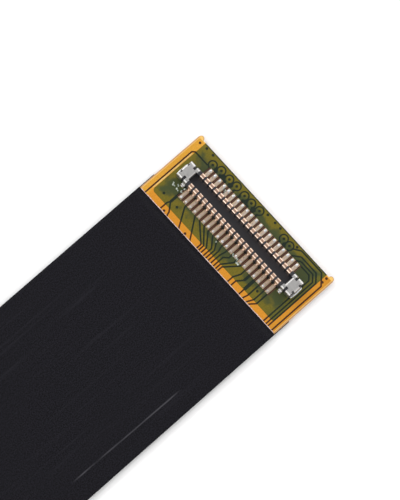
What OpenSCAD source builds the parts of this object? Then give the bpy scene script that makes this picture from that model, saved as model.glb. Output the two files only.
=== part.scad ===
// Flat flexible cable with a two-row board-to-board header on each end.
// +X runs along the cable, +Y across it and +Z up. The cable lies on its back:
// the stiffener plates under both ends stand on Z = 0, and the origin is under
// the middle of the cable. Distances "from the end" run inward from an end edge.

/* [Cable] */
// Length over the two end edges
cable_length = 82; // [60:1:160]
// Width over the shield films
cable_width = 11.9; // [11.8:0.1:16]
// Length left uncovered by the top shield film at each end
bare_end = 4.8; // [4.8:0.1:8]
// Length left uncovered by the bottom shield film at each end
back_bare_end = 3.6; // [3.6:0.1:8]
// How far the shield films reach past the core film on each side
shield_overhang = 0.05; // [0:0.01:0.1]
// Core film left bare beside the coverlays
film_margin = 0.08; // [0.04:0.01:0.1]
// Radius of the round ear at each corner
ear_r = 0.18; // [0.12:0.01:0.2]
// Centre of an ear from the side of the core film
ear_inset = 0.2; // [0.18:0.01:0.4]

/* [Layers] */
// Thickness of the polyimide core film
core_t = 0.03; // [0.02:0.005:0.08]
// Thickness of each copper layer
copper_t = 0.02; // [0.01:0.005:0.035]
// Thickness of each coverlay film
coverlay_t = 0.03; // [0.02:0.005:0.05]
// Thickness of the solder mask over copper
mask_t = 0.025; // [0.02:0.001:0.03]
// Depth of the dip that both leave over a gap in the copper
dip = 0.012; // [0.005:0.001:0.015]
// Thickness of each shield film
shield_t = 0.02; // [0.01:0.005:0.05]
// Thickness of the stiffener plate
stiffener_t = 0.2; // [0.1:0.05:0.5]
// Thickness of the bonding sheet on the stiffener
bond_t = 0.025; // [0.02:0.005:0.05]
// Length of the stiffener plate along the cable
stiffener_len = 3.4; // [3:0.1:3.5]
// Corner radius of the stiffener plate
stiffener_r = 0.3; // [0.1:0.05:1]
// Core film left bare round the stiffener plate
stiffener_inset = 0.1; // [0.05:0.05:0.3]

/* [Copper] */
// Copper held back from the sides and ends of the core film
copper_margin = 0.12; // [0.1:0.01:0.2]
// Width of a gap between conductors
gap_w = 0.1; // [0.06:0.01:0.11]
// Radius of a plated through-hole
via_r = 0.085; // [0.06:0.005:0.09]
// Thickness of the plating in a hole
plating_t = 0.02; // [0.01:0.005:0.03]
// Radius of the copper ring round a signal hole
ring_r = 0.22; // [0.2:0.01:0.24]
// Clearance round that ring
ring_gap = 0.09; // [0.05:0.005:0.1]
// Width of the neck from a ring to its contact pad
neck_w = 0.14; // [0.1:0.01:0.16]

/* [Solder mask] */
// Length of the mask window from the end
window_len = 4.35; // [4.2:0.05:4.6]
// Amber border left of the window
window_left = 0.64; // [0.6:0.01:0.7]
// Amber border right of the window
window_right = 0.6; // [0.55:0.01:0.7]
// Radius of the inner corners of the window
window_r = 0.22; // [0.1:0.02:0.4]

/* [Header] */
// Contacts in one row
row_count = 20; // [10:1:20]
// Distance between contacts
pitch = 0.4; // [0.38:0.005:0.4]
// Middle of the header from the end
header_in = 2.14; // [2:0.02:2.2]
// Header set off towards +Y
header_off = 0.05; // [0:0.01:0.1]
// Height of the header above the pads
header_h = 0.75; // [0.6:0.05:1]
// Width of the mating groove between the contact rows
groove_w = 0.64; // [0.5:0.02:0.7]
// Height of the groove floor above the pads
floor_h = 0.25; // [0.15:0.01:0.3]
// Plastic wall inside each contact loop
wall_core = 0.15; // [0.1:0.005:0.16]
// Plastic set back from the contact faces between contacts
rib_back = 0.01; // [0.005:0.005:0.02]
// Bevel on the edges of the plastic walls
wall_bevel = 0.03; // [0.02:0.005:0.04]
// Gap between the pads and the underside of the housing
housing_gap = 0.04; // [0.035:0.005:0.06]

/* [Contacts] */
// Thickness of the contact strip
contact_t = 0.07; // [0.05:0.005:0.08]
// Width of a contact where it wraps the wall
wrap_w = 0.26; // [0.2:0.01:0.28]
// Width of its solder tail
tail_w = 0.11; // [0.1:0.01:0.18]
// Height of the shoulder between wrap and tail
shoulder_h = 0.3; // [0.2:0.01:0.4]
// Centre-line radius of its bends
bend_r = 0.06; // [0.05:0.005:0.07]
// Width over the solder tails of both rows
tail_span = 2.6; // [2.45:0.05:2.7]

/* [Solder] */
// Solder film under a tail or foot
solder_t = 0.02; // [0.01:0.002:0.024]
// Width of a contact pad
pad_w = 0.24; // [0.18:0.01:0.26]
// Solder in front of a tail or foot
toe = 0.035; // [0.02:0.005:0.05]
// Solder held back from the sides of a pad
pad_lip = 0.005; // [0.005:0.005:0.02]
// Mask opening round the pads
mask_relief = 0.1; // [0.03:0.01:0.12]
// Mask opening round the feet of the end fittings
foot_relief = 0.015; // [0.01:0.005:0.04]

/* [End fittings] */
// Thickness of the fitting sheet
fitting_t = 0.08; // [0.06:0.01:0.1]
// Gap from the last contact to the fitting
fitting_gap = 0.22; // [0.2:0.01:0.3]
// Width of the inner side tabs, which are soldered
inner_tab = 0.23; // [0.2:0.01:0.3]
// Notch between the side tabs
tab_notch = 0.17; // [0.1:0.01:0.2]
// Width of the outer side tabs
outer_tab = 0.36; // [0.3:0.01:0.4]
// Height of the lower edge of the outer side tabs
outer_tab_h = 0.2; // [0.1:0.01:0.4]
// Reach of the end tab past the outer side tabs
end_reach = 0.08; // [0.06:0.01:0.12]
// Width of the end tab
end_tab = 0.43; // [0.3:0.01:0.6]
// Width of the foot under the end tab
end_foot = 0.92; // [0.8:0.02:1]
// Reach of the side feet past the fitting
side_foot = 0.12; // [0.1:0.01:0.25]
// Lip in the end of the groove, held back from the inner edge of the inner tabs
lip_back = 0.06; // [0.04:0.01:0.1]
// Depth of that lip below the top of the header
lip_depth = 0.35; // [0.25:0.01:0.4]
// Length of the notches beside the end tab
corner_notch = 0.08; // [0.04:0.01:0.1]
// Width of those notches
corner_notch_w = 0.14; // [0.08:0.01:0.16]
// Outside bend radius of the fitting
fitting_r = 0.15; // [0.12:0.01:0.18]

/* [Hidden] */
$fn = 32;

// Which end of the cable
FRONT = 1;
REAR = -1;

// Margin by which a cutting shape runs past what it cuts
past = 0.5;

// Half sizes of the films
end_x = cable_length / 2;
edge_y = cable_width / 2;
core_y = edge_y - shield_overhang;
coverlay_y = core_y - film_margin;
copper_y = core_y - copper_margin;

// Heights of the layers, from the plate that the cable stands on
bond_z = stiffener_t;
back_coverlay_z = bond_z + bond_t;
back_copper_z = back_coverlay_z + coverlay_t;
core_z = back_copper_z + copper_t;
copper_z = core_z + core_t;
pad_z = copper_z + copper_t;
top_shield_z = pad_z + coverlay_t;
back_shield_z = back_coverlay_z - shield_t;

// Header sizes, from its middle outward
wall_in = groove_w / 2;
wall_out = wall_in + 2 * contact_t + wall_core;
row_half = (row_count - 1) * pitch / 2;
tail_end = tail_span / 2;
pad_in = wall_out - contact_t;
pad_out = tail_end + toe;
tail_heel = wall_out - contact_t / 2 + bend_r;

// End fitting places along the header, from its middle outward
tab_y0 = row_half + wrap_w / 2 + fitting_gap;
tab_y1 = tab_y0 + inner_tab;
tab_y2 = tab_y1 + tab_notch;
tab_y3 = tab_y2 + outer_tab;
fitting_y = tab_y3 + end_reach;
lip_y = tab_y0 + lip_back;
groove_end_y = lip_y + fitting_t;
fitting_bend = fitting_r - fitting_t / 2;
side_foot_end = wall_out + side_foot;

// End of the plastic walls beside the inner tabs
wall_y = tab_y0 - 0.02;

// A point on the front end: distance in from the end, distance to +Y of the middle
function at(d, y) = [end_x - d, y];
// Y of contact number n, counted from the +Y end; halves lie between contacts
function contact_y(n) = header_off + row_half - n * pitch;

// Gaps between the conductors of the inner row:
// contact number, start of the slant, Y along the cable, end of the slant
FAN_OUT = [
    [-0.5, 4.00, 4.15, 4.20],
    [1.5, 3.60, 2.50, 4.80],
    [3.5, 3.50, 1.55, 4.75],
    [4.5, 3.50, 0.95, 4.40],
    [5.5, 3.50, 0.78, 4.35],
    [6.5, 3.55, 0.58, 4.30],
    [7.5, 3.55, 0.35, 4.10],
    [8.5, 3.60, 0.15, 4.05],
    [9.5, 3.60, -0.05, 3.90],
    [10.5, 3.65, -0.27, 4.00],
    [11.5, 3.70, -0.50, 3.95],
    [12.5, 3.70, -0.70, 4.35],
    [13.5, 3.55, -0.88, 4.40],
    [14.5, 3.85, -1.75, 4.30],
    [15.5, 3.95, -2.05, 4.35],
    [16.5, 4.30, -2.75, 4.50],
    [17.5, 4.40, -3.05, 4.80],
    [18.6, 4.30, -3.40, 4.70],
    [19.3, 4.35, -3.60, 4.70],
];
// Gaps that start wide: contact number, end of the wide stretch, width
WIDE_GAPS = [[-0.5, 4.00, 0.18], [15.5, 3.95, 0.18], [16.5, 4.30, 0.22]];
// Gaps of the conductors that pass round the header:
// distance from the end, distance from the side, size of the slanted corner,
// Y where the gap starts; the side is -Y where that Y is negative
ROUND_HEADER = [
    [0.15, 0.315, 0.60, -3.30],
    [0.42, 0.65, 0.45, -3.55],
    [0.62, 0.83, 0.35, -3.75],
    [0.82, 1.05, 0.25, -3.85],
    [0.84, 0.475, 0.15, 4.25],
];
// Short slanted gaps: points given by distance from the end and Y
LEAD_INS = [
    [[3.95, 4.10], [4.50, 3.65], [4.80, 3.55]],
    [[0.50, -2.80], [0.15, -3.30]],
    [[0.80, -3.10], [0.42, -3.55]],
    [[0.80, -3.50], [0.62, -3.75]],
];
// Signal holes with a ring: contact number, distance from the end, contact joined
RING_HOLES = [
    [-0.5, 0.60, 0],
    [1.0, 0.45, 1],
    [2.75, 0.45, 3],
    [4.25, 0.40, 4],
    [6.1, 0.45, 6],
    [7.6, 0.45, 8],
    [9.25, 0.40, 9],
    [14.75, 0.45, 15],
    [16.1, 0.50, 16],
];
// Runs of contacts with no copper between the pads and the rings, and where it stops
RING_RUNS = [[-0.6, 4.6], [5.4, 9.6], [14.4, 16.6]];
ring_run_in = 0.45;
// Plain ground holes: distance from the end, Y
GROUND_HOLES = [
    [0.18, 5.03], [0.18, 4.48], [0.18, -0.35], [0.18, -1.00], [0.18, -1.45],
    [0.20, -2.95], [3.95, 4.70], [3.95, 3.55], [3.80, -3.35],
    [4.68, 3.90], [4.68, 2.05],
    [0.25, edge_y - 0.40], [0.18, 0.45 - edge_y], [0.52, 0.45 - edge_y],
];
// Gaps between the broad conductors of the bottom layer
BACK_GAPS = [4.25, 3.15, 1.75, 0.50, -0.65, -1.70, -2.80, -4.30];

ring_holes = [for (h = RING_HOLES) [h[1], contact_y(h[0])]];
holes = concat(ring_holes, GROUND_HOLES);

// ---- outlines ----

function unit(v) = v / norm(v);
function normal(a, b) = [-unit(b - a).y, unit(b - a).x];

// Mitred sideways shift of point i of a path
function side_shift(p, i) =
    i == 0 ? normal(p[0], p[1]) :
    i == len(p) - 1 ? normal(p[i - 1], p[i]) :
    let (m = normal(p[i - 1], p[i]), n = normal(p[i], p[i + 1])) (m + n) / (1 + m * n);

// Outline of a strip of width w along a path
function strip(p, w) = concat(
    [for (i = [0:len(p) - 1]) p[i] + side_shift(p, i) * w / 2],
    [for (i = [len(p) - 1:-1:0]) p[i] - side_shift(p, i) * w / 2]
);

// Path with each inner corner rounded to radius r
function bent(p, r, steps = 5) = [
    for (i = [0:len(p) - 1])
        if (i == 0 || i == len(p) - 1) p[i]
        else let (
            u = unit(p[i - 1] - p[i]),
            v = unit(p[i + 1] - p[i]),
            half = acos(u * v) / 2,
            middle = p[i] + unit(u + v) * r / sin(half),
            start = p[i] + u * r / tan(half) - middle,
            turn = sign(cross(p[i] - p[i - 1], p[i + 1] - p[i])) * (180 - 2 * half)
        )
            for (k = [0:steps])
                let (a = turn * k / steps)
                    middle + [start.x * cos(a) - start.y * sin(a), start.x * sin(a) + start.y * cos(a)]
];

// Path of the front end carried on along the cable to its mirror image at the rear
function both_ends(p) = concat(p, [for (i = [len(p) - 1:-1:0]) [-p[i].x, p[i].y]]);

module rect(x0, x1, y0, y1)
    translate([x0, y0]) square([x1 - x0, y1 - y0]);

module on_end(end) {
    if (end == FRONT) children();
    else mirror([1, 0, 0]) children();
}

module on_both_ends() {
    children();
    mirror([1, 0, 0]) children();
}

// Moves a header piece to its place on the pads
module at_header(end) {
    on_end(end) translate([end_x - header_in, header_off, pad_z]) children();
}

// Turns an outline drawn in X and Z into a solid between two values of Y
module across(y0, y1) {
    translate([0, y1, 0]) rotate([90, 0, 0]) linear_extrude(y1 - y0) children();
}

// ---- films ----

// Film between the end edges with a round ear at each corner
module film_outline(half_w, r) {
    rect(-end_x, end_x, -half_w, half_w);
    for (sx = [-1, 1], sy = [-1, 1])
        translate([sx * end_x, sy * (core_y - ear_inset)]) circle(r);
}

module hole_circles(r) {
    on_both_ends() for (h = holes) translate(at(h[0], h[1])) circle(r);
}

// Mask window of the front end
module window_outline() {
    x0 = end_x - window_len;
    y0 = window_right - edge_y;
    y1 = edge_y - window_left;
    rect(x0 + window_r, end_x, y0, y1);
    rect(x0, end_x, y0 + window_r, y1 - window_r);
    for (y = [y0 + window_r, y1 - window_r])
        translate([x0 + window_r, y]) circle(window_r);
}

module core_film() color("#a8702c")
    translate([0, 0, core_z]) linear_extrude(core_t) difference() {
        film_outline(core_y, ear_r);
        hole_circles(via_r);
    }

// Coverlay with a dip over every gap in the copper under it
module top_coverlay() color("#d9952f") translate([0, 0, pad_z]) {
    linear_extrude(coverlay_t - dip) difference() {
        film_outline(coverlay_y, ear_r - film_margin / 2);
        on_both_ends() window_cut();
    }
    linear_extrude(coverlay_t) difference() {
        copper_outline();
        on_both_ends() window_cut();
        copper_gaps();
        hole_circles(via_r);
    }
}

// Window carried past the end edge, so that it opens the film there
module window_cut() {
    window_outline();
    rect(end_x - window_r, end_x + past, window_right - edge_y, edge_y - window_left);
}

module bottom_coverlay() color("#d9952f")
    translate([0, 0, back_coverlay_z]) linear_extrude(coverlay_t)
        film_outline(coverlay_y, ear_r - film_margin / 2);

module top_shield() color("#1c1b20")
    translate([0, 0, top_shield_z]) linear_extrude(shield_t)
        rect(bare_end - end_x, end_x - bare_end, -edge_y, edge_y);

module bottom_shield() color("#1c1b20")
    translate([0, 0, back_shield_z]) linear_extrude(shield_t)
        rect(back_bare_end - end_x, end_x - back_bare_end, -edge_y, edge_y);

// ---- copper ----

module copper_outline()
    rect(copper_margin / 2 - end_x, end_x - copper_margin / 2, -copper_y, copper_y);

// Gap that leaves the inner row, slants to its place and runs along the cable
module fan_gap(f) {
    y = contact_y(f[0]);
    row = header_in + pad_in;
    polygon(strip(both_ends([at(row, y), at(f[1], y), at(f[3], f[2])]), gap_w));
}

// Gap that passes round the header on the outside
module round_gap(g) {
    s = sign(g[3]);
    y = s * (edge_y - g[1]);
    polygon(strip(both_ends([at(g[0], g[3]), at(g[0], y - s * g[2]), at(g[0] + g[2], y)]), gap_w));
}

module ring_gaps() {
    clear_r = ring_r + ring_gap;
    row = header_in - pad_out;
    difference() {
        union() {
            for (h = ring_holes) translate(at(h[0], h[1])) circle(clear_r);
            for (run = RING_RUNS)
                rect(end_x - row - past, end_x - ring_run_in, contact_y(run[1]), contact_y(run[0]));
        }
        for (h = ring_holes) translate(at(h[0], h[1])) circle(ring_r);
        for (h = RING_HOLES)
            polygon(strip([at(h[1], contact_y(h[0])), at(row, contact_y(h[2]))], neck_w));
    }
}

module copper_gaps() {
    for (f = FAN_OUT) fan_gap(f);
    for (g = ROUND_HEADER) round_gap(g);
    on_both_ends() {
        for (w = WIDE_GAPS)
            rect(end_x - w[1], end_x - header_in - pad_in, contact_y(w[0]) - w[2] / 2, contact_y(w[0]) + w[2] / 2);
        for (l = LEAD_INS) polygon(strip([for (p = l) at(p[0], p[1])], gap_w));
        ring_gaps();
    }
}

// Contact pads of the front end, both rows, with their outer ends under the mask
module contact_pads() {
    length = pad_out + mask_relief - wall_out;
    for (s = [-1, 1], n = [0:row_count - 1])
        translate([end_x - header_in + s * (wall_out + length / 2), contact_y(n)])
            square([length, pad_w], center = true);
}

module top_conductors() color("#c8813c")
    translate([0, 0, copper_z]) linear_extrude(copper_t) difference() {
        union() {
            difference() {
                copper_outline();
                copper_gaps();
                on_both_ends() row_windows();
            }
            on_both_ends() contact_pads();
        }
        hole_circles(via_r);
    }

module bottom_conductors() color("#c8813c")
    translate([0, 0, back_copper_z]) linear_extrude(copper_t) difference() {
        copper_outline();
        for (y = BACK_GAPS) rect(-cable_length, cable_length, y - gap_w / 2, y + gap_w / 2);
        hole_circles(via_r);
    }

module plated_holes(end) color("#c8813c")
    on_end(end) for (h = holes) translate([end_x - h[0], h[1], back_copper_z]) difference() {
        cylinder(h = pad_z - back_copper_z, r = via_r);
        translate([0, 0, -past]) cylinder(h = 2 * past, r = via_r - plating_t);
    }

// ---- solder mask ----

// Openings over the two rows of contact pads
module row_windows()
    for (s = [-1, 1])
        translate([end_x - header_in + s * (pad_in + pad_out) / 2, header_off])
            square([pad_out - pad_in, 2 * (row_half + pad_w / 2 + mask_relief)], center = true);

// Openings under the feet of the end fittings
module fitting_windows() {
    x0 = wall_out - fitting_t;
    x1 = side_foot_end + toe + foot_relief;
    translate([end_x - header_in, header_off]) for (sy = [-1, 1]) {
        for (sx = [-1, 1])
            translate([sx * (x0 + x1) / 2, sy * (tab_y0 + tab_y1) / 2])
                square([x1 - x0, inner_tab + 2 * foot_relief], center = true);
        translate([0, sy * (fitting_y - fitting_t / 2)])
            square([end_foot + 2 * foot_relief, fitting_t + 2 * foot_relief], center = true);
    }
}

module solder_mask(end) color("#6b6a26") on_end(end) translate([0, 0, pad_z]) {
    linear_extrude(mask_t - dip) difference() {
        window_outline();
        row_windows();
        fitting_windows();
    }
    linear_extrude(mask_t) difference() {
        intersection() {
            window_outline();
            copper_outline();
        }
        row_windows();
        fitting_windows();
        copper_gaps();
        hole_circles(via_r);
    }
}

// ---- stiffener ----

module stiffener_outline() {
    x0 = end_x - stiffener_inset - stiffener_len;
    x1 = end_x - stiffener_inset;
    y = core_y - stiffener_inset;
    rect(x0 + stiffener_r, x1 - stiffener_r, -y, y);
    rect(x0, x1, stiffener_r - y, y - stiffener_r);
    for (x = [x0 + stiffener_r, x1 - stiffener_r], s = [-1, 1])
        translate([x, s * (y - stiffener_r)]) circle(stiffener_r);
}

module stiffener(end) color("#b9bcc0")
    on_end(end) linear_extrude(stiffener_t) stiffener_outline();

module bonding_sheet(end) color("#b8b29a")
    on_end(end) translate([0, 0, bond_z]) linear_extrude(bond_t) stiffener_outline();

// ---- header housing ----

// Cross-section of the trough: two walls from u0 to u1, top at h, on the floor
module trough_section(u0, u1, h) {
    b = wall_bevel;
    polygon([
        [-u1, housing_gap], [u1, housing_gap], [u1, h - b], [u1 - b, h], [u0 + b, h], [u0, h - b],
        [u0, floor_h], [-u0, floor_h], [-u0, h - b], [-u0 - b, h], [b - u1, h], [-u1, h - b],
    ]);
}

// Plastic between contacts n and n + 1, or past the last contact of either end
module rib(n) {
    y0 = n == row_count - 1 ? -wall_y : row_half - (n + 1) * pitch + wrap_w / 2;
    y1 = n == -1 ? wall_y : row_half - n * pitch - wrap_w / 2;
    across(y0, y1) trough_section(wall_in + rib_back, wall_out - rib_back, header_h - rib_back);
}

// Block that an end fitting is pressed over, with the end of the groove
module end_block() {
    inner_r = fitting_r - fitting_t;
    u = wall_out - fitting_t;
    h = header_h - fitting_t;
    y1 = fitting_y - fitting_t;
    difference() {
        intersection() {
            across(wall_y, y1) polygon([
                [-u, housing_gap], [u, housing_gap], [u, h - inner_r], [u - inner_r, h],
                [inner_r - u, h], [-u, h - inner_r],
            ]);
            rotate([90, 0, 90]) translate([0, 0, -u]) linear_extrude(2 * u) polygon([
                [wall_y, housing_gap], [y1, housing_gap], [y1, h - inner_r], [y1 - inner_r, h], [wall_y, h],
            ]);
        }
        rotate([90, 0, 90]) translate([0, 0, -wall_in - rib_back]) linear_extrude(2 * (wall_in + rib_back)) polygon([
            [wall_y - past, floor_h], [groove_end_y, floor_h], [groove_end_y, h - inner_r],
            [groove_end_y + inner_r, h], [groove_end_y + inner_r, header_h], [wall_y - past, header_h],
        ]);
    }
}

module housing(end) color("#17171a") at_header(end) {
    across(-wall_y, wall_y)
        trough_section(wall_in + contact_t, wall_out - contact_t, header_h - contact_t);
    for (n = [-1:row_count - 1]) rib(n);
    end_block();
    mirror([0, 1, 0]) end_block();
}

// ---- contacts ----

// Strip bent over the wall and out to its solder tail, drawn for the outer row
module contact() {
    u0 = wall_in + contact_t / 2;
    u1 = wall_out - contact_t / 2;
    top = header_h - contact_t / 2;
    foot = solder_t + contact_t / 2;
    across(-wrap_w / 2, wrap_w / 2)
        polygon(strip(bent([[u0, floor_h], [u0, top], [u1, top], [u1, shoulder_h]], bend_r), contact_t));
    across(-tail_w / 2, tail_w / 2)
        polygon(strip(bent([[u1, shoulder_h + wall_bevel], [u1, foot], [tail_end, foot]], bend_r), contact_t));
}

// Side +1 is the outer row, beside the end edge, and -1 the inner row
module contact_row(end, side) color("#d8d3c4") at_header(end)
    for (n = [0:row_count - 1]) translate([0, row_half - n * pitch, 0])
        mirror([side > 0 ? 0 : 1, 0, 0]) contact();

// Solder under a tail, rising in front of its end
module solder_row(end, side) color("#cfd2d6") at_header(end)
    for (n = [0:row_count - 1]) translate([0, row_half - n * pitch, 0])
        mirror([side > 0 ? 0 : 1, 0, 0]) across(pad_lip - pad_w / 2, pad_w / 2 - pad_lip) polygon([
            [tail_heel, 0], [pad_out, 0], [tail_end, solder_t + contact_t * 0.8],
            [tail_end, solder_t], [tail_heel, solder_t],
        ]);

// ---- end fittings ----

// Sheet bent down over both sides of the block, to the height z1 of its lower edges
module saddle(y0, y1, z1, foot) {
    u = wall_out - fitting_t / 2;
    top = header_h - fitting_t / 2;
    low = z1 + fitting_t / 2;
    for (s = [0, 1]) mirror([s, 0, 0]) across(y0, y1) polygon(strip(bent(
        foot ? [[0, top], [u, top], [u, low], [side_foot_end, low]] : [[0, top], [u, top], [u, z1]],
        fitting_bend), fitting_t));
}

// Formed cap over the +Y end of the header
module fitting_cap() {
    top = header_h - fitting_t / 2;
    end = fitting_y - fitting_t / 2;
    plate_y = lip_y + fitting_r;
    difference() {
        union() {
            saddle(tab_y0, tab_y1, solder_t, true);
            saddle(tab_y2, tab_y3, outer_tab_h, false);
            translate([-wall_in, plate_y, header_h - fitting_t])
                cube([2 * wall_in, tab_y3 - plate_y - end_reach / 2, fitting_t]);
        }
        translate([-wall_in, 0, -past]) cube([2 * wall_in, plate_y, header_h + 2 * past]);
        translate([-end_tab / 2 - corner_notch_w, tab_y3 - corner_notch, header_h - 2 * fitting_t])
            cube([end_tab + 2 * corner_notch_w, past, 3 * fitting_t]);
    }
    rotate([90, 0, 90]) translate([0, 0, -wall_in]) linear_extrude(2 * wall_in)
        polygon(strip(bent([
            [lip_y + fitting_t / 2, header_h - lip_depth], [lip_y + fitting_t / 2, top], [tab_y2, top],
        ], fitting_bend), fitting_t));
    rotate([90, 0, 90]) translate([0, 0, -end_tab / 2]) linear_extrude(end_tab)
        polygon(strip(bent([[tab_y2, top], [end, top], [end, solder_t]], fitting_bend), fitting_t));
    translate([-end_foot / 2, fitting_y - fitting_t, solder_t]) cube([end_foot, fitting_t, fitting_t]);
}

module fitting(end, side) color("#a9abad") at_header(end)
    mirror([0, side > 0 ? 0 : 1, 0]) fitting_cap();

module fitting_solder(end) color("#cfd2d6") at_header(end)
    for (sy = [0, 1]) mirror([0, sy, 0]) {
        for (sx = [0, 1]) mirror([sx, 0, 0]) across(tab_y0, tab_y1) polygon([
            [wall_out - fitting_t / 2 + fitting_bend, 0], [side_foot_end + toe, 0],
            [side_foot_end, solder_t + fitting_t * 0.8], [side_foot_end, solder_t],
            [wall_out - fitting_t / 2 + fitting_bend, solder_t],
        ]);
        translate([-end_foot / 2, fitting_y - fitting_t, 0]) cube([end_foot, fitting_t, solder_t]);
    }

// ---- nodes ----

module front_solder_mask() solder_mask(FRONT);
module rear_solder_mask() solder_mask(REAR);
module front_stiffener() stiffener(FRONT);
module rear_stiffener() stiffener(REAR);
module front_bonding_sheet() bonding_sheet(FRONT);
module rear_bonding_sheet() bonding_sheet(REAR);
module front_plated_holes() plated_holes(FRONT);
module rear_plated_holes() plated_holes(REAR);
module front_housing() housing(FRONT);
module rear_housing() housing(REAR);
module front_outer_contacts() contact_row(FRONT, 1);
module front_inner_contacts() contact_row(FRONT, -1);
module rear_outer_contacts() contact_row(REAR, 1);
module rear_inner_contacts() contact_row(REAR, -1);
module front_left_fitting() fitting(FRONT, 1);
module front_right_fitting() fitting(FRONT, -1);
module rear_left_fitting() fitting(REAR, 1);
module rear_right_fitting() fitting(REAR, -1);
module front_outer_solder() solder_row(FRONT, 1);
module front_inner_solder() solder_row(FRONT, -1);
module rear_outer_solder() solder_row(REAR, 1);
module rear_inner_solder() solder_row(REAR, -1);
module front_fitting_solder() fitting_solder(FRONT);
module rear_fitting_solder() fitting_solder(REAR);

core_film();
top_conductors();
bottom_conductors();
top_coverlay();
bottom_coverlay();
top_shield();
bottom_shield();
front_solder_mask();
rear_solder_mask();
front_stiffener();
rear_stiffener();
front_bonding_sheet();
rear_bonding_sheet();
front_plated_holes();
rear_plated_holes();
front_housing();
rear_housing();
front_outer_contacts();
front_inner_contacts();
rear_outer_contacts();
rear_inner_contacts();
front_left_fitting();
front_right_fitting();
rear_left_fitting();
rear_right_fitting();
front_outer_solder();
front_inner_solder();
rear_outer_solder();
rear_inner_solder();
front_fitting_solder();
rear_fitting_solder();
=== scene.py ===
"""Looks of a flat flex cable: film strip, solder, residue and materials round the CAD frame.

Sizes are in millimetres and are turned into metres where a mesh or a lamp is made.
Distances "from the end" run inward from the end edge of the film, and "from the side"
inward from the +Y side of the shield films, as they are read off the real cable.
"""
import math
import random

import bmesh
import bpy
from mathutils import Matrix, Vector, noise


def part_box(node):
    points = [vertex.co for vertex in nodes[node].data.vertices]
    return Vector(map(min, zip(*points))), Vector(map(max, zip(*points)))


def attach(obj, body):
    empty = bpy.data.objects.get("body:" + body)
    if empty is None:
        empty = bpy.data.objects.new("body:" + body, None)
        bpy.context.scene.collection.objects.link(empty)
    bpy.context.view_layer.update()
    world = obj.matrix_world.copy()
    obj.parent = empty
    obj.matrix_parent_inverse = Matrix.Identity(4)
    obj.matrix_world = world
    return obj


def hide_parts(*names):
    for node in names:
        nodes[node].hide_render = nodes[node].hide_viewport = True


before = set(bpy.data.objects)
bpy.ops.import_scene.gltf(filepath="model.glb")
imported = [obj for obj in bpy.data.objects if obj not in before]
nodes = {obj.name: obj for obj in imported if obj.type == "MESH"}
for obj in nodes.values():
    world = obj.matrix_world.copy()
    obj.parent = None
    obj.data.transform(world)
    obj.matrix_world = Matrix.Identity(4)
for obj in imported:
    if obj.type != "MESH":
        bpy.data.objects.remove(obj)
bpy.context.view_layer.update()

MM = 0.001
ENDS = {"front": 1, "rear": -1}


def box_mm(node):
    """Lowest and highest corner of a CAD node, in millimetres."""
    low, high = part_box(node)
    return low / MM, high / MM


# ---- places taken from the CAD ----

shield_low, shield_high = box_mm("top_shield")
back_low, back_high = box_mm("bottom_shield")
housing_low, housing_high = box_mm("front_housing")
solder_low, solder_high = box_mm("front_outer_solder")
mask_high = box_mm("front_solder_mask")[1]
end_x = round(mask_high.x, 4)
side_y = shield_high.y
film_z = shield_low.z
mask_z = mask_high.z
pad_z = solder_low.z
header_x = (housing_low.x + housing_high.x) / 2
header_y = (housing_low.y + housing_high.y) / 2


def at(from_end, from_side):
    """X and Y of a point on the front end."""
    return end_x - from_end, side_y - from_side


# ---- meshes ----

def new_piece(name, bm, material, replaced=()):
    """Turns a bmesh in millimetres into a smooth piece that rides on the cable."""
    bmesh.ops.recalc_face_normals(bm, faces=bm.faces)
    bmesh.ops.scale(bm, vec=(MM, MM, MM), verts=bm.verts)
    mesh = bpy.data.meshes.new(name)
    bm.to_mesh(mesh)
    bm.free()
    mesh.shade_smooth()
    piece = bpy.data.objects.new(name, mesh)
    bpy.context.collection.objects.link(piece)
    piece.data.materials.append(material)
    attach(piece, "root")
    if replaced:
        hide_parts(*replaced)
    return piece


def skin(bm, rings):
    """Faces between neighbouring rings of points with the same count; returns the rings."""
    made = [[bm.verts.new(p) for p in ring] for ring in rings]
    bridge(bm, made)
    return made


def bridge(bm, made):
    """Faces between neighbouring rings of vertices."""
    count = len(made[0])
    for a, b in zip(made, made[1:]):
        for k in range(count):
            bm.faces.new((a[k], a[(k + 1) % count], b[(k + 1) % count], b[k]))


def sheet(bm, rings):
    """Closed skin of a flat film; each ring runs along its face and back along its inside."""
    made = skin(bm, rings)
    count = len(made[0])
    for ring in (made[0], made[-1]):
        for k in range(count // 2 - 1):
            bm.faces.new((ring[k], ring[k + 1], ring[count - 2 - k], ring[count - 1 - k]))


def mound(bm, rings):
    """Closed skin through half-round rings."""
    made = skin(bm, rings)
    bm.faces.new(made[0])
    bm.faces.new(made[-1])


def smooth(value, low, high):
    """0 at low and 1 at high, with a smooth step between; low may be the higher one."""
    t = min(max((value - low) / (high - low), 0.0), 1.0)
    return t * t * (3 - 2 * t)


# ---- shader nodes ----

def srgb(r, g, b):
    """Colour written as it looks on screen, 0 to 255 a channel."""
    def linear(c):
        c /= 255
        return c / 12.92 if c <= 0.04045 else ((c + 0.055) / 1.055) ** 2.4
    return linear(r), linear(g), linear(b), 1.0


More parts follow.
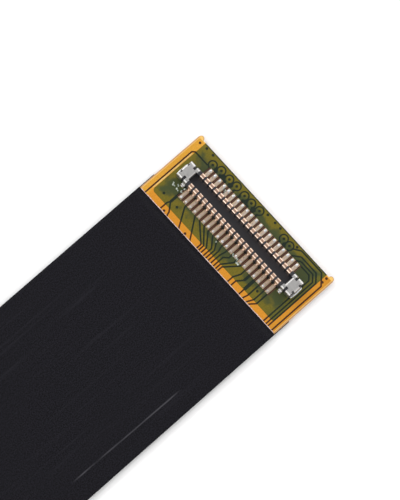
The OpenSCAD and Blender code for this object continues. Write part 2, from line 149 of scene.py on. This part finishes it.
class Finish:
    """A Principled material whose nodes work in millimetres of the row frame."""

    def __init__(self, name, constants):
        self.material = bpy.data.materials.new(name)
        self.material.use_nodes = True
        self.tree = self.material.node_tree
        self.shader = self.tree.nodes["Principled BSDF"]
        for socket, value in constants.items():
            self.shader.inputs[socket].default_value = value
        place = self.tree.nodes.new("ShaderNodeTexCoord").outputs["Object"]
        self.place = self.vector("SCALE", place, scale=1 / MM)
        split = self.tree.nodes.new("ShaderNodeSeparateXYZ")
        self.tree.links.new(self.place, split.inputs[0])
        self.x, self.y, self.z = split.outputs

    def put(self, socket, value):
        if isinstance(value, bpy.types.NodeSocket):
            self.tree.links.new(value, socket)
        else:
            socket.default_value = value

    def set(self, socket, value):
        self.put(self.shader.inputs[socket], value)

    def vector(self, operation, a, b=None, scale=None):
        node = self.tree.nodes.new("ShaderNodeVectorMath")
        node.operation = operation
        self.put(node.inputs[0], a)
        if b is not None:
            self.put(node.inputs[1], b)
        if scale is not None:
            node.inputs["Scale"].default_value = scale
        return node.outputs[0]

    def math(self, operation, a, b=0.0):
        node = self.tree.nodes.new("ShaderNodeMath")
        node.operation = operation
        self.put(node.inputs[0], a)
        self.put(node.inputs[1], b)
        return node.outputs[0]

    def product(self, *values):
        result = values[0]
        for value in values[1:]:
            result = self.math("MULTIPLY", result, value)
        return result

    def rise(self, value, low, high):
        """0 below low and 1 above high, with a smooth step between; low may be the higher one."""
        node = self.tree.nodes.new("ShaderNodeMapRange")
        node.interpolation_type = "SMOOTHSTEP"
        self.put(node.inputs["Value"], value)
        node.inputs["From Min"].default_value = low
        node.inputs["From Max"].default_value = high
        return node.outputs[0]

    def mix(self, factor, a, b):
        node = self.tree.nodes.new("ShaderNodeMix")
        node.data_type = "RGBA"
        self.put(node.inputs[0], factor)
        self.put(node.inputs[6], a)
        self.put(node.inputs[7], b)
        return node.outputs[2]

    def grain(self, size, detail=2.0, stretch=(1, 1, 1)):
        """Noise with features of a size in millimetres, drawn out by stretch."""
        rate = Vector([1 / (size * s) for s in stretch])
        node = self.tree.nodes.new("ShaderNodeTexNoise")
        node.inputs["Scale"].default_value = 1.0
        node.inputs["Detail"].default_value = detail
        self.put(node.inputs["Vector"], self.vector("MULTIPLY", self.place, rate))
        return node.outputs[0]

    def roughness(self, noise_value, spread, low):
        """Roughness from low up to low plus spread, following a noise."""
        self.set("Roughness", self.math("ADD", self.product(noise_value, spread), low))

    def bump(self, height, depth):
        """Relief of a depth in millimetres."""
        node = self.tree.nodes.new("ShaderNodeBump")
        node.inputs["Distance"].default_value = depth * MM
        self.put(node.inputs["Height"], height)
        self.set("Normal", node.outputs[0])

    def near(self, value, centre, width):
        """1 at centre, falling to 0 at width from it."""
        return self.rise(self.math("ABSOLUTE", self.math("SUBTRACT", value, centre)), width, 0.0)

    def between(self, value, low, high, soft):
        """1 from low to high, falling off over soft on either side."""
        return self.product(
            self.rise(value, low - soft, low + soft),
            self.rise(value, high + soft, high - soft),
        )

    def outside(self, value, centre, half):
        """Distance past half on either side of centre, negative within it."""
        offset = self.math("ABSOLUTE", self.math("SUBTRACT", value, centre))
        return self.math("SUBTRACT", offset, half)

    def header_distance(self, half_x, half_y):
        """Distance outside a box round either header."""
        dx = self.outside(self.math("ABSOLUTE", self.x), header_x, half_x)
        dy = self.outside(self.y, header_y, half_y)
        return self.math("MAXIMUM", dx, dy)


# ---- materials ----

CONTACTS = 20
PITCH = 0.4
# Depths below the top of the coverlay or mask between which a dip over a copper gap turns dark
DIP = (0.010, 0.002)
# Bare coverlay past the copper, at the end and at the sides
BARE_END = 0.07
BARE_SIDE = 0.175
# Pale painted highlight along one raised trace line of the shield film: reach along X, Y at its start, fall
# in Y, half width, soft ends
RIDGE_HIGHLIGHT = {"x": (21.7, 29.5), "y": -4.62, "slope": 0.013, "width": 0.07, "soft": 0.6}
# Range of |X| over which the painted highlight streaks along the cable fade out towards an end
STREAK_FADE = (34.5, 29.0)


def shield_finish():
    """Matt black film with streaks drawn along the cable and one pale line, both painted highlights of its
    raised trace lines.
    """
    f = Finish("shield_film", {"Specular IOR Level": 0.1})
    grain = f.grain(0.075, 3)
    mottle = f.grain(0.9, 3, (2, 1, 1))
    # painted highlight: lighter streaks drawn out along X, standing in for light on the raised trace lines
    streak_highlights = f.rise(f.grain(0.22, 3, (40, 1, 1)), 0.55, 0.75)
    inward = f.rise(f.math("ABSOLUTE", f.x), *STREAK_FADE)
    base = f.mix(f.rise(grain, 0.32, 0.68), srgb(4, 4, 6), srgb(28, 27, 34))
    base = f.mix(f.product(mottle, 0.3), base, srgb(22, 20, 25))
    base = f.mix(f.product(streak_highlights, inward, 0.5), base, srgb(34, 33, 39))
    # painted highlight: one pale, broken line along a raised trace
    fall = f.product(f.math("SUBTRACT", f.x, RIDGE_HIGHLIGHT["x"][0]), RIDGE_HIGHLIGHT["slope"])
    ridge_highlight = f.product(
        f.near(f.math("ADD", f.y, fall), RIDGE_HIGHLIGHT["y"], RIDGE_HIGHLIGHT["width"]),
        f.between(f.x, *RIDGE_HIGHLIGHT["x"], RIDGE_HIGHLIGHT["soft"]),
        f.rise(f.grain(0.3, 2, (8, 1, 1)), 0.3, 0.6),
    )
    f.set("Base Color", f.mix(f.product(ridge_highlight, 0.8), base, srgb(76, 75, 80)))
    f.roughness(mottle, 0.2, 0.48)
    f.bump(grain, 0.006)
    return f.material


def coverlay_finish(name, dipped=False):
    """Amber film over copper, which is dark in its dips and pale past the copper."""
    f = Finish(name, {"Coat Weight": 0.06, "Coat Roughness": 0.3, "Specular IOR Level": 0.25})
    grain = f.grain(0.07, 3)
    patches = f.grain(1.1, 3)
    left_strip = f.rise(f.y, side_y - 0.66, side_y - 0.6)
    right_strip = f.rise(f.y, 0.6 - side_y, 0.5 - side_y)
    amber = f.mix(left_strip, srgb(203, 134, 30), srgb(214, 158, 52))
    amber = f.mix(right_strip, amber, srgb(196, 132, 30))
    amber = f.mix(f.product(patches, 0.35), amber, srgb(218, 150, 44))
    amber = f.mix(f.product(f.rise(grain, 0.35, 0.7), 0.4), amber, srgb(170, 106, 26))
    if dipped:
        gap = f.mix(grain, srgb(48, 24, 6), srgb(78, 40, 14))
        past_end = f.math("SUBTRACT", f.math("ABSOLUTE", f.x), end_x - BARE_END)
        past_side = f.math("SUBTRACT", f.math("ABSOLUTE", f.y), side_y - BARE_SIDE)
        bare = f.rise(f.math("MAXIMUM", past_end, past_side), 0.0, 0.01)
        low = f.mix(bare, gap, srgb(232, 188, 104))
        amber = f.mix(f.rise(f.z, film_z - DIP[0], film_z - DIP[1]), low, amber)
    f.set("Base Color", amber)
    f.roughness(patches, 0.15, 0.36)
    f.bump(grain, 0.002)
    return f.material


def mask_finish():
    """Olive mask, near black in its dips and darker teal round the pads."""
    f = Finish("solder_mask", {"Coat Weight": 0.05, "Coat Roughness": 0.25, "Specular IOR Level": 0.22})
    grain = f.grain(0.09, 3)
    patches = f.grain(0.8, 3)
    olive = f.mix(patches, srgb(100, 93, 22), srgb(116, 102, 28))
    olive = f.mix(f.product(f.rise(f.y, -4.2, -5.0), 0.6), olive, srgb(84, 86, 34))
    gap = f.mix(grain, srgb(14, 26, 20), srgb(34, 46, 34))
    # darker teal over the mask round each header, with a ragged edge
    ragged = f.product(f.math("SUBTRACT", patches, 0.5), 1.6)
    flux = f.rise(f.math("ADD", f.header_distance(1.3, 4.6), ragged), 0.55, 0.1)
    olive = f.mix(f.product(flux, 0.85), olive, srgb(50, 66, 44))
    olive = f.mix(f.product(f.rise(grain, 0.35, 0.7), 0.35), olive, srgb(72, 70, 18))
    f.set("Base Color", f.mix(f.rise(f.z, mask_z - DIP[0], mask_z - DIP[1]), gap, olive))
    f.roughness(patches, 0.2, 0.3)
    f.bump(grain, 0.003)
    return f.material


def core_finish():
    """Bare film: dark maroon between the pads, with painted shade beside each pad and round each header, pale
    along the cable's edges.
    """
    f = Finish("core_film", {"Specular IOR Level": 0.4})
    grain = f.grain(0.05, 3)
    lane = f.math("FRACT", f.math("DIVIDE", f.math("SUBTRACT", f.y, header_y), PITCH))
    lane = f.math("ABSOLUTE", f.math("SUBTRACT", lane, 0.5))
    maroon = f.mix(grain, srgb(78, 44, 32), srgb(108, 66, 48))
    # painted shade: darker within about 0.15 mm of each contact's centre line, as shade beside the pads
    maroon = f.mix(f.rise(lane, 0.36, 0.44), srgb(40, 24, 14), maroon)
    # painted shade: near black within about 0.7 mm of a header's centre along X, as shade under and beside
    # the housing
    maroon = f.mix(f.rise(f.header_distance(0.7, 9.0), 0.05, -0.03), maroon, srgb(26, 28, 22))
    edge = f.mix(f.grain(0.6, 3), srgb(184, 134, 84), srgb(206, 164, 116))
    f.set("Base Color", f.mix(f.rise(f.header_distance(1.5, 4.2), 0.0, 0.3), maroon, edge))
    f.roughness(grain, 0.2, 0.35)
    f.bump(grain, 0.003)
    return f.material


def copper_finish():
    """Copper, with a gold flash on the pads."""
    f = Finish("copper", {"Metallic": 1.0})
    grain = f.grain(0.04, 3)
    gold = f.mix(grain, srgb(206, 176, 136), srgb(232, 210, 176))
    copper = f.mix(grain, srgb(180, 104, 66), srgb(208, 134, 92))
    f.set("Base Color", f.mix(f.rise(f.header_distance(1.5, 5.2), 0.0, 0.2), gold, copper))
    f.roughness(grain, 0.2, 0.35)
    f.bump(grain, 0.002)
    return f.material


def metal_finish(name, dark, light, roughness, grain_size, stretch=(1, 1, 1), depth=0.002):
    """Metal with a fine drawn or tumbled grain."""
    f = Finish(name, {"Metallic": 1.0})
    grain = f.grain(grain_size, 3, stretch)
    stain = f.grain(0.5, 2)
    f.set("Base Color", f.mix(f.math("MULTIPLY", f.math("ADD", grain, stain), 0.5), dark, light))
    f.roughness(grain, 0.2, roughness - 0.1)
    f.bump(grain, depth)
    return f.material


def plating_finish():
    """Contact plating, with painted shade making the crowns of the loops browner, just over the plastic."""
    f = Finish("contact_plating", {"Metallic": 1.0})
    grain = f.grain(0.05, 3, (1, 4, 1))
    cream = f.mix(grain, srgb(226, 196, 174), srgb(246, 226, 210))
    # painted shade: the flat crowns above the plastic are coloured browner for the dim overhead that they
    # reflect
    crown = f.rise(f.z, housing_high.z + 0.002, housing_high.z + 0.008)
    f.set("Base Color", f.mix(f.product(crown, 0.85), cream, srgb(198, 158, 134)))
    f.roughness(grain, 0.2, 0.2)
    f.bump(grain, 0.002)
    return f.material


def plastic_finish():
    """Moulded black plastic of the header."""
    f = Finish("housing", {"Specular IOR Level": 0.45})
    grain = f.grain(0.03, 3)
    flow = f.grain(0.5, 2, (1, 4, 1))
    base = f.mix(grain, srgb(26, 25, 30), srgb(42, 41, 48))
    f.set("Base Color", f.mix(f.product(flow, 0.4), base, srgb(54, 51, 54)))
    f.roughness(flow, 0.2, 0.4)
    f.bump(grain, 0.003)
    return f.material


def glue_and_highlight_finish(name, dark, light):
    """Glossy cured glue or flux; also the pale beads painted as edge highlights."""
    f = Finish(name, {"Specular IOR Level": 0.5, "Coat Weight": 0.3, "Coat Roughness": 0.2})
    grain = f.grain(0.12, 3)
    f.set("Base Color", f.mix(f.rise(grain, 0.3, 0.7), dark, light))
    f.roughness(grain, 0.2, 0.3)
    f.bump(grain, 0.004)
    return f.material


shield_film = shield_finish()
solder_metal = metal_finish("solder", srgb(206, 208, 212), srgb(240, 240, 240), 0.3, 0.06, depth=0.006)
# pale bead painted as the highlight on the mask window's edge
window_highlight_finish = glue_and_highlight_finish("adhesive", srgb(206, 160, 76), srgb(226, 190, 110))
# pale bead painted as the highlight on the shield film's cut edge
edge_highlight_finish = glue_and_highlight_finish("film_edge_highlight", srgb(176, 140, 130), srgb(236, 214, 208))
flux_finish = glue_and_highlight_finish("flux", srgb(120, 134, 122), srgb(206, 212, 200))
plating = plating_finish()

# Finish of each CAD node, by the end of its name; the first that fits is taken
NODE_FINISHES = {
    "core_film": core_finish(),
    "conductors": copper_finish(),
    "top_coverlay": coverlay_finish("top_coverlay", dipped=True),
    "bottom_coverlay": coverlay_finish("bottom_coverlay"),
    "shield": shield_film,
    "solder_mask": mask_finish(),
    "stiffener": metal_finish("stiffener", srgb(166, 168, 172), srgb(196, 198, 202), 0.36, 0.05, (40, 1, 1)),
    "bonding_sheet": glue_and_highlight_finish("bonding_sheet", srgb(140, 112, 70), srgb(172, 146, 100)),
    "plated_holes": plating,
    "housing": plastic_finish(),
    "contacts": plating,
    "fitting": metal_finish("fitting_metal", srgb(186, 184, 182), srgb(208, 206, 204), 0.36, 0.04, (1, 5, 1)),
    "solder": solder_metal,
}
for name, node in nodes.items():
    finish = next(m for key, m in NODE_FINISHES.items() if name.endswith(key))
    node.data.materials.clear()
    node.data.materials.append(finish)

# ---- camera ----

VIEW_HEIGHT = 29.536
VIEW_DISTANCE = 250.0
VIEW_BACK = (-0.24, -0.104, 1.0)
VIEW_UP = (0.67603, 0.73714, 0.0)
# Point that the camera looks at, from the end and from the side
VIEW_CENTRE = (4.672, 5.216)
SENSOR = 36.0

target = Vector((*at(*VIEW_CENTRE), pad_z))
back = Vector(VIEW_BACK).normalized()
right = Vector(VIEW_UP).cross(back).normalized()
turn = Matrix((right, back.cross(right), back)).transposed().to_4x4()
camera_data = bpy.data.cameras.new("camera")
camera_data.sensor_width = SENSOR
camera_data.lens = SENSOR * VIEW_DISTANCE / VIEW_HEIGHT
camera = bpy.data.objects.new("camera", camera_data)
camera.matrix_world = Matrix.Translation((target + back * VIEW_DISTANCE) * MM) @ turn
bpy.context.collection.objects.link(camera)
bpy.context.scene.camera = camera

# ---- shield films, which are the free length of the cable ----

# Y of the gaps between conductors, which show as shallow valleys in the film
VALLEYS = (
    5.635, 5.475, 4.15, 3.55, 2.50, 1.55, 0.95, 0.80, 0.60, 0.35, 0.15, -0.05, -0.25,
    -0.50, -0.70, -0.85, -1.75, -2.05, -2.75, -3.05, -3.40, -3.60, -4.90, -5.12, -5.30, -5.635,
)
VALLEY_DEPTH = 0.01
VALLEY_WIDTH = 0.07
# Share of that depth at the film's edge, and the distances inward over which it becomes full
VALLEY_START = 0.15
VALLEY_GROWTH = (3.0, 9.0)
# Fall of the film at its sides, and the width over which it falls
EDGE_ROLL = 0.035
ROLL_WIDTH = 0.12
# Height of the film's slow unevenness
WAVE = 0.003
FILM_COLUMNS = 140
FILM_STEP = 0.6


def film_rings(low, high, up):
    """Rings of one shield film from its front edge to its rear edge; up is +1 on top."""
    stations = round((high.x - low.x) / FILM_STEP)
    outer_z, inner_z = (high.z, low.z) if up > 0 else (low.z, high.z)
    rings = []
    for i in range(stations + 1):
        x = high.x - (high.x - low.x) * i / stations
        growth = VALLEY_START + (1 - VALLEY_START) * smooth(high.x - abs(x), *VALLEY_GROWTH)
        face, inner = [], []
        for k in range(FILM_COLUMNS + 1):
            y = high.y - (high.y - low.y) * k / FILM_COLUMNS
            roll = EDGE_ROLL * smooth(abs(y), high.y - ROLL_WIDTH, high.y)
            valley = max(math.exp(-((y - v) / VALLEY_WIDTH) ** 2) for v in VALLEYS)
            wave = WAVE * noise.noise(Vector((x * 0.15, y * 1.4, up * 5.0)))
            face.append((x, y, outer_z - up * (roll + VALLEY_DEPTH * valley * growth - wave)))
            inner.append((x, y, inner_z - up * roll))
        rings.append(face + inner[::-1])
    return rings


bm = bmesh.new()
sheet(bm, film_rings(shield_low, shield_high, 1))
sheet(bm, film_rings(back_low, back_high, -1))
strip = new_piece("shield_films", bm, shield_film, ("top_shield", "bottom_shield"))

# ---- solder ----

rng = random.Random(5)
heel = solder_low.x - header_x
toe = solder_high.x - header_x
# Height of the blob at the toe of each row
ROW_HEIGHT = {"outer": 0.125, "inner": 0.105}
JOINT_STEPS = 12
JOINT_POINTS = 9
# Half width and height along the tail, what they gain at the toe and at the heel
TAIL_HALF = 0.074
TOE_HALF_GAIN = 0.024
TAIL_HEIGHT = 0.035
HEEL_HEIGHT_GAIN = 0.045
# Share of the length at which the toe starts to round off
TIP_START = 0.78
FOOT_Y = 4.265
FOOT_X = 0.665
END_FOOT_Y = 5.0


def joint_rings(x0, direction, y, crown):
    """Mound of solder along one tail, from its heel out to the toe of the pad."""
    swell = rng.uniform(0.92, 1.08)
    lean = rng.uniform(-0.015, 0.015)
    rings = []
    for i in range(JOINT_STEPS + 1):
        t = i / JOINT_STEPS
        tip = math.sqrt(max(1 - max((t - TIP_START) / (1 - TIP_START), 0.0) ** 2, 0.0))
        half = (TAIL_HALF + TOE_HALF_GAIN * smooth(t, 0.35, 0.75) * swell) * max(tip, 0.12)
        height = TAIL_HEIGHT + HEEL_HEIGHT_GAIN * smooth(t, 0.12, 0.0)
        height = (height + (crown * swell - TAIL_HEIGHT) * smooth(t, 0.45, 0.8)) * max(tip, 0.1)
        ring = []
        for k in range(JOINT_POINTS):
            angle = math.pi * k / (JOINT_POINTS - 1)
            ring.append((
                x0 + direction * (heel + (toe - heel) * t),
                y + lean * t + half * math.cos(angle),
                pad_z + height * math.sin(angle) ** 0.8 if 0 < k < JOINT_POINTS - 1 else pad_z,
            ))
        rings.append(ring)
    return rings


def dome(bm, x, y, z, half_x, half_y, height, ragged=0.0, power=0.7, sides=14, rows=4):
    """Low rounded lump with an uneven rim."""
    rim = [1 + ragged * rng.uniform(-1, 1) for _ in range(sides)]
    layers = []
    for j in range(rows):
        angle = math.pi / 2 * j / rows
        layers.append([
            bm.verts.new((
                x + half_x * rim[k] * math.cos(angle) * math.cos(2 * math.pi * k / sides),
                y + half_y * rim[k] * math.cos(angle) * math.sin(2 * math.pi * k / sides),
                z + height * math.sin(angle) ** power,
            ))
            for k in range(sides)
        ])
    top = bm.verts.new((x, y, z + height))
    bm.faces.new(layers[0])
    bridge(bm, layers)
    for k in range(sides):
        bm.faces.new((layers[-1][k], layers[-1][(k + 1) % sides], top))


for end, sign in ENDS.items():
    for row, outward in (("outer", 1), ("inner", -1)):
        bm = bmesh.new()
        for n in range(CONTACTS):
            y = header_y + PITCH * ((CONTACTS - 1) / 2 - n)
            mound(bm, joint_rings(sign * header_x, sign * outward, y, ROW_HEIGHT[row]))
        new_piece(f"{end}_{row}_fillets", bm, solder_metal, (f"{end}_{row}_solder",))
    bm = bmesh.new()
    for side in (1, -1):
        for sx in (1, -1):
            dome(bm, sign * header_x + sx * FOOT_X, header_y + side * FOOT_Y, pad_z,
                 0.11, 0.13, 0.085, 0.08)
        dome(bm, sign * header_x, header_y + side * END_FOOT_Y, pad_z, 0.48, 0.075, 0.07, 0.04, sides=20)
    new_piece(f"{end}_fitting_fillets", bm, solder_metal, (f"{end}_fitting_solder",))

# ---- pale beads painted as edge highlights, and flux residue ----

BEAD_POINTS = 7
# Painted highlight on the left side of the mask window, drawn as a pale bead: from the side, and its two ends
# from the end edge
WINDOW_HIGHLIGHT_SIDE = 0.575
WINDOW_HIGHLIGHT_ENDS = (1.05, 4.2)
# Painted highlight in front of the shield film's cut edge, drawn as a pale bead: distance from the film and
# half its length
FILM_EDGE_GAP = 0.012
FILM_EDGE_HALF = 5.8


def bead(bm, start, finish, z, half, height, steps, wander):
    """Half-round bead from one point to another."""
    along = Vector(finish) - Vector(start)
    across = Vector((-along.y, along.x)).normalized()
    rings = []
    for i in range(steps + 1):
        middle = Vector(start) + along * i / steps
        w = half * (1 + wander * noise.noise(Vector((middle.x * 2.1, middle.y * 2.1, 3.0))))
        ring = []
        for k in range(BEAD_POINTS):
            angle = math.pi * k / (BEAD_POINTS - 1)
            p = middle + across * w * math.cos(angle)
            ring.append((p.x, p.y, z + height * math.sin(angle)))
        rings.append(ring)
    mound(bm, rings)


for end, sign in ENDS.items():
    # pale bead painted as the highlight on the left edge of the mask window
    start, finish = [(sign * (end_x - d), side_y - WINDOW_HIGHLIGHT_SIDE) for d in WINDOW_HIGHLIGHT_ENDS]
    bm = bmesh.new()
    bead(bm, start, finish, film_z, 0.04, 0.008, 30, 0.6)
    new_piece(f"{end}_window_highlight_bead", bm, window_highlight_finish)
    # pale bead painted as the highlight on the shield film's cut edge
    x = sign * (shield_high.x + FILM_EDGE_GAP)
    bm = bmesh.new()
    bead(bm, (x, FILM_EDGE_HALF), (x, -FILM_EDGE_HALF), film_z, 0.035, 0.02, 120, 0.8)
    new_piece(f"{end}_film_edge_highlight", bm, edge_highlight_finish)

# Crumbs of flux: from the end, from the side, radius, height, height of the surface under them
CRUMBS = [
    (3.20, 1.28, 0.11, 0.05, mask_z), (3.08, 1.16, 0.08, 0.04, mask_z), (3.17, 1.62, 0.12, 0.05, mask_z),
    (3.10, 1.84, 0.10, 0.05, mask_z), (2.85, 1.90, 0.10, 0.05, mask_z), (2.98, 1.45, 0.09, 0.03, mask_z),
    (3.42, 7.05, 0.12, 0.05, mask_z), (3.55, 7.30, 0.12, 0.05, mask_z), (3.38, 6.75, 0.10, 0.05, mask_z),
    (2.90, 6.90, 0.09, 0.06, pad_z), (3.00, 7.30, 0.09, 0.06, pad_z), (3.62, 5.50, 0.07, 0.04, mask_z),
    (2.75, 2.60, 0.05, 0.03, pad_z), (2.72, 6.20, 0.05, 0.03, pad_z),
    (1.05, 3.36, 0.10, 0.05, pad_z), (1.12, 3.56, 0.11, 0.06, pad_z), (1.06, 3.75, 0.08, 0.06, pad_z),
    (1.32, 3.58, 0.05, 0.04, pad_z),
]
LUMPS_IN_A_CRUMB = 3
bm = bmesh.new()
for from_end, from_side, radius, height, z in CRUMBS:
    x, y = at(from_end, from_side)
    for _ in range(LUMPS_IN_A_CRUMB):
        dome(bm, x + rng.uniform(-1, 1) * radius * 0.6, y + rng.uniform(-1, 1) * radius * 0.6, z,
             radius * rng.uniform(0.35, 0.7), radius * rng.uniform(0.35, 0.7),
             height * rng.uniform(0.5, 1), 0.25, 1.0, 9, 3)
new_piece("flux_residue", bm, flux_finish)

# ---- stage ----

# Half the floor's width, in metres
FLOOR = 4.0
PAPER = 0.95
corners = [(-FLOOR, -FLOOR, 0), (FLOOR, -FLOOR, 0), (FLOOR, FLOOR, 0), (-FLOOR, FLOOR, 0)]
floor_mesh = bpy.data.meshes.new("floor")
floor_mesh.from_pydata(corners, [], [(0, 1, 2, 3)])
floor = bpy.data.objects.new("floor", floor_mesh)
bpy.context.collection.objects.link(floor)
paper = bpy.data.materials.new("paper")
paper.use_nodes = True
paper_inputs = paper.node_tree.nodes["Principled BSDF"].inputs
paper_inputs["Roughness"].default_value = 0.9
paper_inputs["Specular IOR Level"].default_value = 0.0
paper_inputs["Base Color"].default_value = (PAPER, PAPER, PAPER, 1)
floor.data.materials.append(paper)

# ---- light ----

# The sky is bright low down and darker overhead; heights are the Z of a direction
SKY_LOW = 1.0
SKY_TOP = 0.42
SKY_CHANGE = (0.76, 0.95)
world = bpy.data.worlds.new("studio")
bpy.context.scene.world = world
world.use_nodes = True
sky = world.node_tree
direction = sky.nodes.new("ShaderNodeTexCoord")
split = sky.nodes.new("ShaderNodeSeparateXYZ")
sky.links.new(direction.outputs["Generated"], split.inputs[0])
shade = sky.nodes.new("ShaderNodeMapRange")
shade.interpolation_type = "SMOOTHSTEP"
sky.links.new(split.outputs[2], shade.inputs["Value"])
shade.inputs["From Min"].default_value, shade.inputs["From Max"].default_value = SKY_CHANGE
shade.inputs["To Min"].default_value = SKY_LOW
shade.inputs["To Max"].default_value = SKY_TOP
sky.links.new(shade.outputs[0], sky.nodes["Background"].inputs["Strength"])
sky.nodes["Background"].inputs["Color"].default_value = (1, 1, 1, 1)

# Soft lamps: direction from the middle of the cable, width, height, power in watts
SOFTBOX_DISTANCE = 700
SOFTBOXES = {
    "key": ((0.1, 0.9, 0.75), 420, 300, 1.2),
    "end_side": ((0.95, 0.1, 0.7), 420, 420, 1.1),
    "cable_side": ((-0.95, 0.0, 0.7), 420, 420, 1.1),
}
for name, (toward, width, height, power) in SOFTBOXES.items():
    lamp = bpy.data.lights.new(name, "AREA")
    lamp.shape = "RECTANGLE"
    lamp.size, lamp.size_y = width * MM, height * MM
    lamp.energy = power
    place = Vector(toward).normalized() * SOFTBOX_DISTANCE
    facing = place.to_track_quat("Z", "Y").to_matrix().to_4x4()
    softbox = bpy.data.objects.new(name, lamp)
    softbox.matrix_world = Matrix.Translation(place * MM) @ facing
    softbox.visible_camera = False
    bpy.context.collection.objects.link(softbox)

bpy.context.scene.view_settings.view_transform = "Standard"
